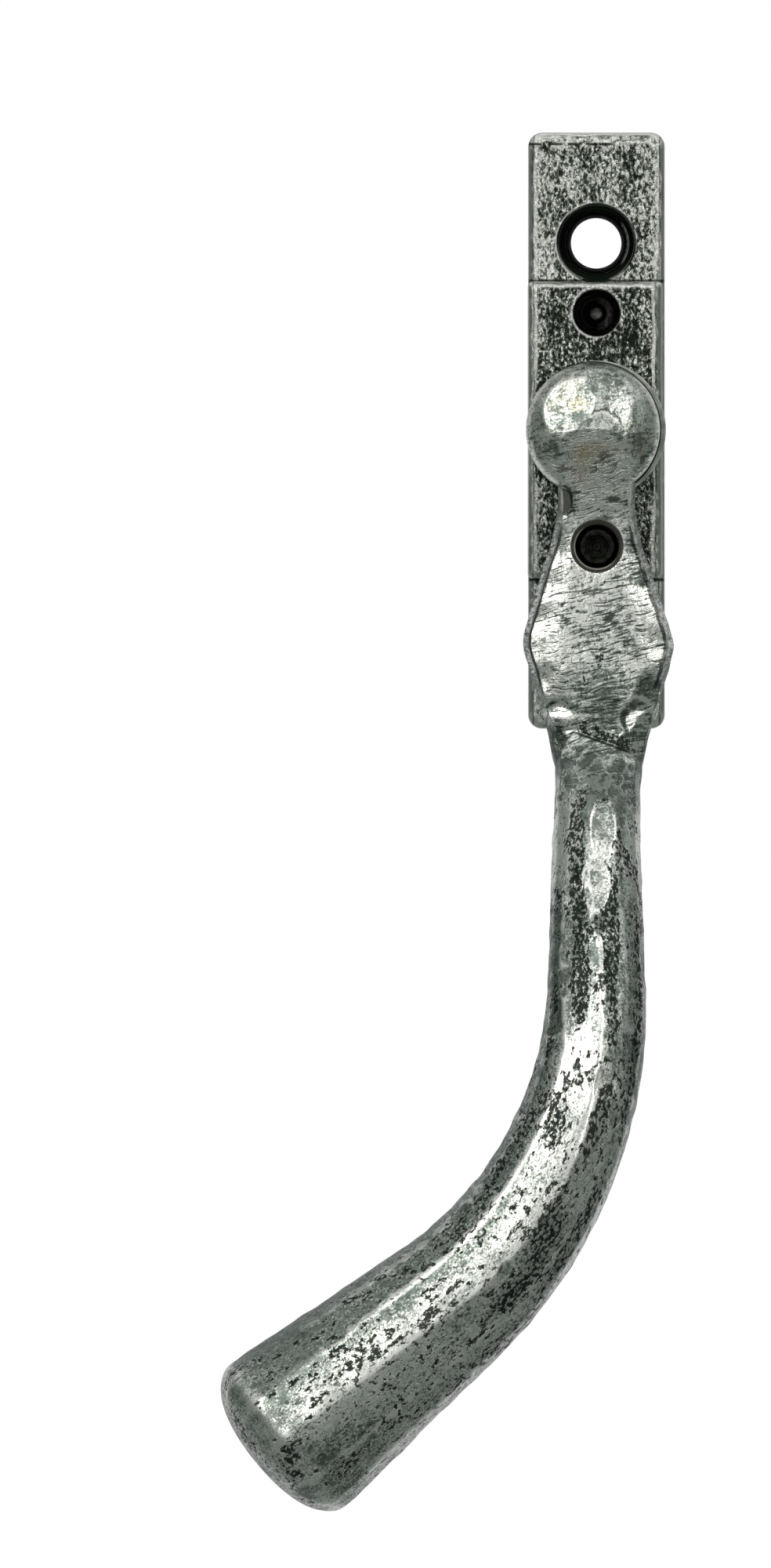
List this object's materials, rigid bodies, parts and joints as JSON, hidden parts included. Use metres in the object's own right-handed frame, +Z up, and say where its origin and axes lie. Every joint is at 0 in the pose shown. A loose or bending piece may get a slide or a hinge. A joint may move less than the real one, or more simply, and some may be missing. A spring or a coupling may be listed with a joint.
{
  "type": "espagnolette window handle",
  "caption": "Espagnolette window handle: stepped base plate, domed pivot head, kite-shaped flat with a lock screw, and a swelling arm cranked to the left; square drive spindle behind.",
  "frame": {"origin": "on the pivot axis, in the plane of the base plate's mounting face", "axes": "+Z up along the plate, +Y through the mounting face towards the window's gearbox, +X to the right seen from the room; the arm hangs to -Z and bends to -X"},
  "size_m": [0.0519, 0.078, 0.1576],
  "materials": {
    "plate_iron": "pewter patina on cast iron, coarse grain",
    "lever_iron": "pewter patina on forged iron, edges rubbed bright",
    "turned_steel": "turned, patinated",
    "spindle_steel": "drawn square bar, zinc plated",
    "spring_steel": "hardened, oiled",
    "screw_steel": "black oxide",
    "bush_acetal": "black acetal"
  },
  "bodies": {
    "base": {"base_plate": "plate_iron", "pivot_bush": "bush_acetal", "wave_washer": "spring_steel"},
    "handle": {"lever": "lever_iron", "pivot_stem": "turned_steel", "spindle": "spindle_steel", "spindle_pin": "spring_steel", "stop_washer": "spring_steel", "retaining_clip": "spring_steel"},
    "lock": {"lock_screw": "screw_steel"}
  },
  "joints": [
    {"name": "handle_turn", "type": "hinge", "parent": "base", "child": "handle", "pos_m": [0, 0, 0], "axis": [0, 1, 0], "range_deg": [0, 90]},
    {"name": "lock_screw_travel", "type": "slide", "parent": "handle", "child": "lock", "axis": [0, 1, 0], "range_m": [0, 0.004]}
  ]
}
